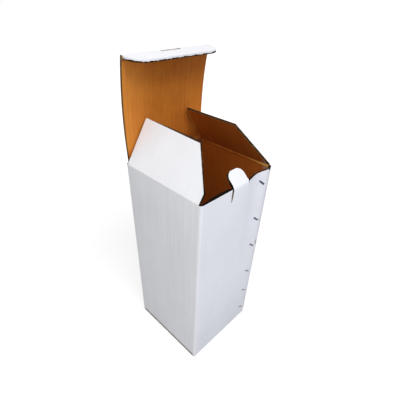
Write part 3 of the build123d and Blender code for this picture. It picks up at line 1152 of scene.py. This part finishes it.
firstStitch = makeStitch()
stitches = []
for number, fall in enumerate(stitch["drops"], 1):
    copied = firstStitch.copy()
    copied.data = firstStitch.data.copy()
    copied.name = f"stitch_{number}"
    bpy.context.scene.collection.objects.link(copied)
    copied.rotation_euler = (0, -radians(stitch["slant"]), 0)
    copied.location = (halfWidth - stitch["inset"], 0, rim - fall)
    only(copied)
    bpy.ops.object.transform_apply(location=True, rotation=True, scale=True)
    copied.data.materials.append(stitchWire)
    openEdit(copied)
    bpy.ops.mesh.select_all(action="SELECT")
    bpy.ops.mesh.remove_doubles(threshold=0.00001)
    bpy.ops.mesh.normals_make_consistent(inside=False)
    closeEdit()
    bpy.ops.object.shade_smooth_by_angle(angle=radians(board["smooth"]))
    stitches.append(copied)
bpy.data.objects.remove(firstStitch)
print("stitches made")


# The front rim bows inwards to the right of the tongue, and takes the lap and the stitches along

bow = {
    "depth": 0.004,
    "across": (0, 0, 0, 0, 0, 0.15, 1, 0.55, 0),
    "down": (0, 0, 0, 0.05, 0.2, 0.45, 0.75, 1),
}


def warp(pieces, low, high, counts, smooth, move):  # a lattice between two corners, moved in metres
    bpy.ops.object.add(type="LATTICE", location=(low + high) / 2)
    cage = bpy.context.object
    cage.scale = high - low
    lattice = cage.data
    lattice.points_u, lattice.points_v, lattice.points_w = counts
    lattice.interpolation_type_u = lattice.interpolation_type_w = smooth
    lattice.interpolation_type_v = "KEY_LINEAR"
    for number, point in enumerate(lattice.points):
        u, v, w = number % counts[0], number // counts[0] % counts[1], number // (counts[0] * counts[1])
        offset = Vector(move(u, v, w))
        point.co_deform = point.co + Vector(a / b for a, b in zip(offset, cage.scale))
    bpy.context.view_layer.update()
    for piece in pieces:
        apply(piece, "LATTICE", object=cage)
    bpy.data.objects.remove(cage)


warp(
    (boxBoard, *stitches),
    Vector((-halfWidth, -halfDepth, 0)),
    Vector((halfWidth, halfDepth, rim)),
    (len(bow["across"]), 2, len(bow["down"])),
    "KEY_CARDINAL",
    lambda u, v, w: (0, (1 - v) * bow["across"][u] * bow["down"][w] * bow["depth"], 0),
)
for piece in (boxBoard, leftFlap, rightFlap, tuckBoard, lidBoard):
    thicken(piece)
    mapFlutes(piece)
print("papers thickened", len(boxBoard.data.polygons))


# Creased paper at each hinged fold

crease = {
    "steps": 10,
    "smooth": 50,
    "innerSink": 0.25 * paper,
    "outerLap": 0.1 * paper,
    "outerSink": 0.15 * paper,
    "flapBulge": 0.0007,
    "lidBulge": -0.0004,
    "tuckBulge": 0.0003,
}


def makeCrease(name, fold, along, first, second, mitre, bulge, bodies):
    (awayA, outA), (awayB, outB) = first, second  # of the two boards that meet at the fold
    deep = thick - crease["innerSink"]
    inward = gap + thick * tan(radians(mitre))
    linerEnd = gap + paper / 2 * tan(radians(mitre)) + crease["outerLap"]
    outerA, outerB = fold + awayA * linerEnd, fold + awayB * linerEnd
    innerA = fold + awayA * inward - outA * deep
    innerB = fold + awayB * inward - outB * deep
    centre = (innerA + innerB) / 2
    beyond = (centre - fold).normalized()
    ring = [outerA, fold - (outA + outB).normalized() * crease["outerSink"], outerB]
    for i in range(crease["steps"] + 1):
        share = i / crease["steps"]
        ring.append(innerB.lerp(innerA, share) + beyond * bulge * sin(pi * share) ** 2)
    start, end = along
    bpy.ops.mesh.primitive_circle_add(vertices=len(ring), radius=thick, fill_type="NGON")
    obj = bpy.context.object
    obj.name = name
    openEdit(obj)
    mesh = bmesh.from_edit_mesh(obj.data)
    mesh.verts.ensure_lookup_table()
    for vertex, place in zip(mesh.verts, ring):
        vertex.co = place + start
    bmesh.update_edit_mesh(obj.data)
    bpy.ops.mesh.select_all(action="SELECT")
    draw(end - start)
    bpy.ops.mesh.select_all(action="SELECT")
    bpy.ops.mesh.normals_make_consistent(inside=False)
    closeEdit()
    bpy.ops.object.transform_apply(location=True, rotation=True, scale=True)
    for paint in (whiteLiner, flutePaper, creasedKraft):
        obj.data.materials.append(paint)
    line = (end - start).normalized()
    for face in obj.data.polygons:
        if abs(face.normal.dot(line)) > 0.7:
            face.material_index = fluteLayer
        elif (face.center - fold - line * (face.center - fold).dot(line)).length < thick / 4:
            face.material_index = outerLayer
        else:
            face.material_index = innerLayer
    only(obj)
    bpy.ops.object.shade_smooth_by_angle(angle=radians(crease["smooth"]))
    mapFlutes(obj)
    swing = (innerB - innerA) / 2
    return obj, bodies, tuple(centre - swing), tuple(centre + swing)


def lidDirections(angle):  # along the lid towards its top, and out of its white side
    return Vector((0, -sin(angle), cos(angle))), Vector((0, cos(angle), sin(angle)))


creases = [
    makeCrease(
        name,
        fold,
        (-deepways * shape["front"], deepways * dustFlap["half"]),
        (-up, wide * shape["side"]),
        flapDirections(shape["side"]),
        board["mitre"],
        crease["flapBulge"],
        ("carton", flap),
    )
    for name, fold, shape, flap in (
        ("left_crease", leftFold, leftShape, "left_flap"),
        ("right_crease", rightFold, rightShape, "right_flap"),
    )
]
lidCrease = makeCrease(
    "lid_crease",
    lidFold,
    (-wide * lidHalf, wide * lidHalf),
    (-up, deepways),
    lidDirections(arcLean - arcHalf),
    board["mitre"],
    crease["lidBulge"],
    ("carton", "lid_panel"),
)
lidUp, lidOut = lidDirections(arcLean + arcHalf)
tuckCreases = [
    makeCrease(
        name,
        tuckFold,
        (wide * start, wide * end),
        (-lidUp, lidOut),
        (tuckAway, tuckOut),
        board["tuckMitre"],
        crease["tuckBulge"],
        ("lid_panel", "tuck"),
    )
    for name, start, end in (
        ("tuck_crease_left", -lidHalf, -tuck["slotHalf"]),
        ("tuck_crease_right", tuck["slotHalf"], lidHalf),
    )
]
creases += [lidCrease, *tuckCreases]
print("creases made")

# The top of the lid stands a little higher at its right end
warp(
    (lidBoard, tuckBoard, *(made[0] for made in tuckCreases)),
    Vector((-lidHalf, -halfDepth, lidFold.z)),
    Vector((lidHalf, halfDepth, tuckFold.z)),
    (2, 2, 2),
    "KEY_LINEAR",
    lambda u, v, w: (0, 0, u * w * lid["rightRise"]),
)


# What rides on what

for paperFold, bodies, start, end in creases:
    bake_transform(paperFold)
for piece, carrier, node, slot in (
    (boxBoard, "carton", "box_body", "board_body"),
    (leftFlap, "left_flap", "left_dust_flap", "board_left"),
    (rightFlap, "right_flap", "right_dust_flap", "board_right"),
    (lidBoard, "lid_panel", "lid", "board_lid"),
    (tuckBoard, "tuck", "tuck_flap", "board_tuck"),
):
    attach(piece, carrier)
    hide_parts(node)
for piece in stitches:
    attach(piece, "carton")
    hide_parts("wire_stitches")


# Floor, lamps and camera

studio = {
    "sky": 0.56,
    "floor": 0.45,
    "glowNear": 0.6,
    "glowFar": 0.85,
}
lamps = (
    {
        "name": "keyLamp",
        "place": (-0.26, -0.62, 1.24),
        "target": (0, 0, 0.25),
        "size": 0.6,
        "power": 7.8,
        "colour": (1, 1, 1),
    },
    {
        "name": "leftLamp",
        "place": (-0.75, -0.3, 0.8),
        "target": (-0.05, 0, 0.25),
        "size": 0.5,
        "power": 1.9,
        "colour": (1, 1, 1),
    },
    {
        "name": "frontLamp",
        "place": (0.1, -1.2, 0.3),
        "target": (0, 0, 0.2),
        "size": 0.5,
        "power": 2.0,
        "colour": (0.62, 0.68, 1.0),
    },
)


def makeFloor():  # pale, and lit up to white for the camera, so that only the shadow shows
    bpy.ops.mesh.primitive_plane_add(size=8, location=(0, 0, 0))
    floor = bpy.context.object
    floor.name = "floor"
    p = Paint("paleFloor", Roughness=0.9, Emission_Strength=1.0)
    clouds = p.noise(p.place(), 3, 2)
    tone = studio["floor"]
    p.give("Base Color", p.mix(clouds * 0.1, (tone,) * 3, (tone * 0.96,) * 3))
    away = p.node("ShaderNodeVectorMath", {"operation": "LENGTH"}, {0: p.place()}, out="Value")
    glow = p.ramp(away, (0.25, (studio["glowNear"],) * 3), (0.95, (studio["glowFar"],) * 3))
    seen = p.node("ShaderNodeLightPath", {}, {}, out="Is Camera Ray")
    p.give("Emission Color", p.mix(seen, (0, 0, 0), glow))
    floor.data.materials.append(p.material)


def makeWorld():
    world = bpy.data.worlds.new("studio")
    bpy.context.scene.world = world
    world.use_nodes = True
    nodes, links = world.node_tree.nodes, world.node_tree.links
    paths = nodes.new("ShaderNodeLightPath")
    background = nodes["Background"]
    background.inputs["Color"].default_value = (1, 1, 1, 1)
    seen = nodes.new("ShaderNodeMath")
    seen.operation = "MAXIMUM"
    links.new(paths.outputs["Is Camera Ray"], seen.inputs[0])
    links.new(paths.outputs["Is Glossy Ray"], seen.inputs[1])
    clear = nodes.new("ShaderNodeMath")
    clear.operation = "MAXIMUM"
    links.new(seen.outputs[0], clear.inputs[0])
    links.new(paths.outputs["Is Transmission Ray"], clear.inputs[1])
    strength = nodes.new("ShaderNodeMapRange")
    strength.inputs["To Min"].default_value = studio["sky"]
    strength.inputs["To Max"].default_value = 1.0
    links.new(clear.outputs[0], strength.inputs["Value"])
    links.new(strength.outputs["Result"], background.inputs["Strength"])


def softLamp(name, place, target, size, power, colour):
    bpy.ops.object.light_add(type="AREA", location=place)
    lamp = bpy.context.object
    lamp.name = name
    lamp.data.size = size
    lamp.data.energy = power
    lamp.data.color = colour
    lamp.rotation_euler = (Vector(target) - Vector(place)).to_track_quat("-Z", "Y").to_euler()


camera = {
    "place": (-0.240459, -0.225282, 0.445957),
    "right": (0.699430, -0.713748, 0.036896),
    "down": (-0.409032, -0.442091, -0.798278),
    "ahead": (0.586081, 0.543248, -0.601157),
    "focal": 296.54,
    "centre": (200, 220),
    "frame": 400,
    "sensor": 36,
}


def makeCamera():
    bpy.ops.object.camera_add()
    cam = bpy.context.object
    right, lower, ahead = (Vector(camera[k]) for k in ("right", "down", "ahead"))
    turned = Matrix((right, -lower, -ahead)).transposed().to_4x4()
    cam.matrix_world = Matrix.Translation(camera["place"]) @ turned
    cam.data.sensor_width = camera["sensor"]
    cam.data.lens = camera["focal"] / camera["frame"] * camera["sensor"]
    cam.data.shift_x = (camera["frame"] / 2 - camera["centre"][0]) / camera["frame"]
    cam.data.shift_y = (camera["centre"][1] - camera["frame"] / 2) / camera["frame"]
    cam.data.clip_start = 0.01
    bpy.context.scene.camera = cam


makeFloor()
makeWorld()
for lamp in lamps:
    softLamp(**lamp)
makeCamera()
bpy.context.scene.view_settings.view_transform = "Standard"
print("studio set")
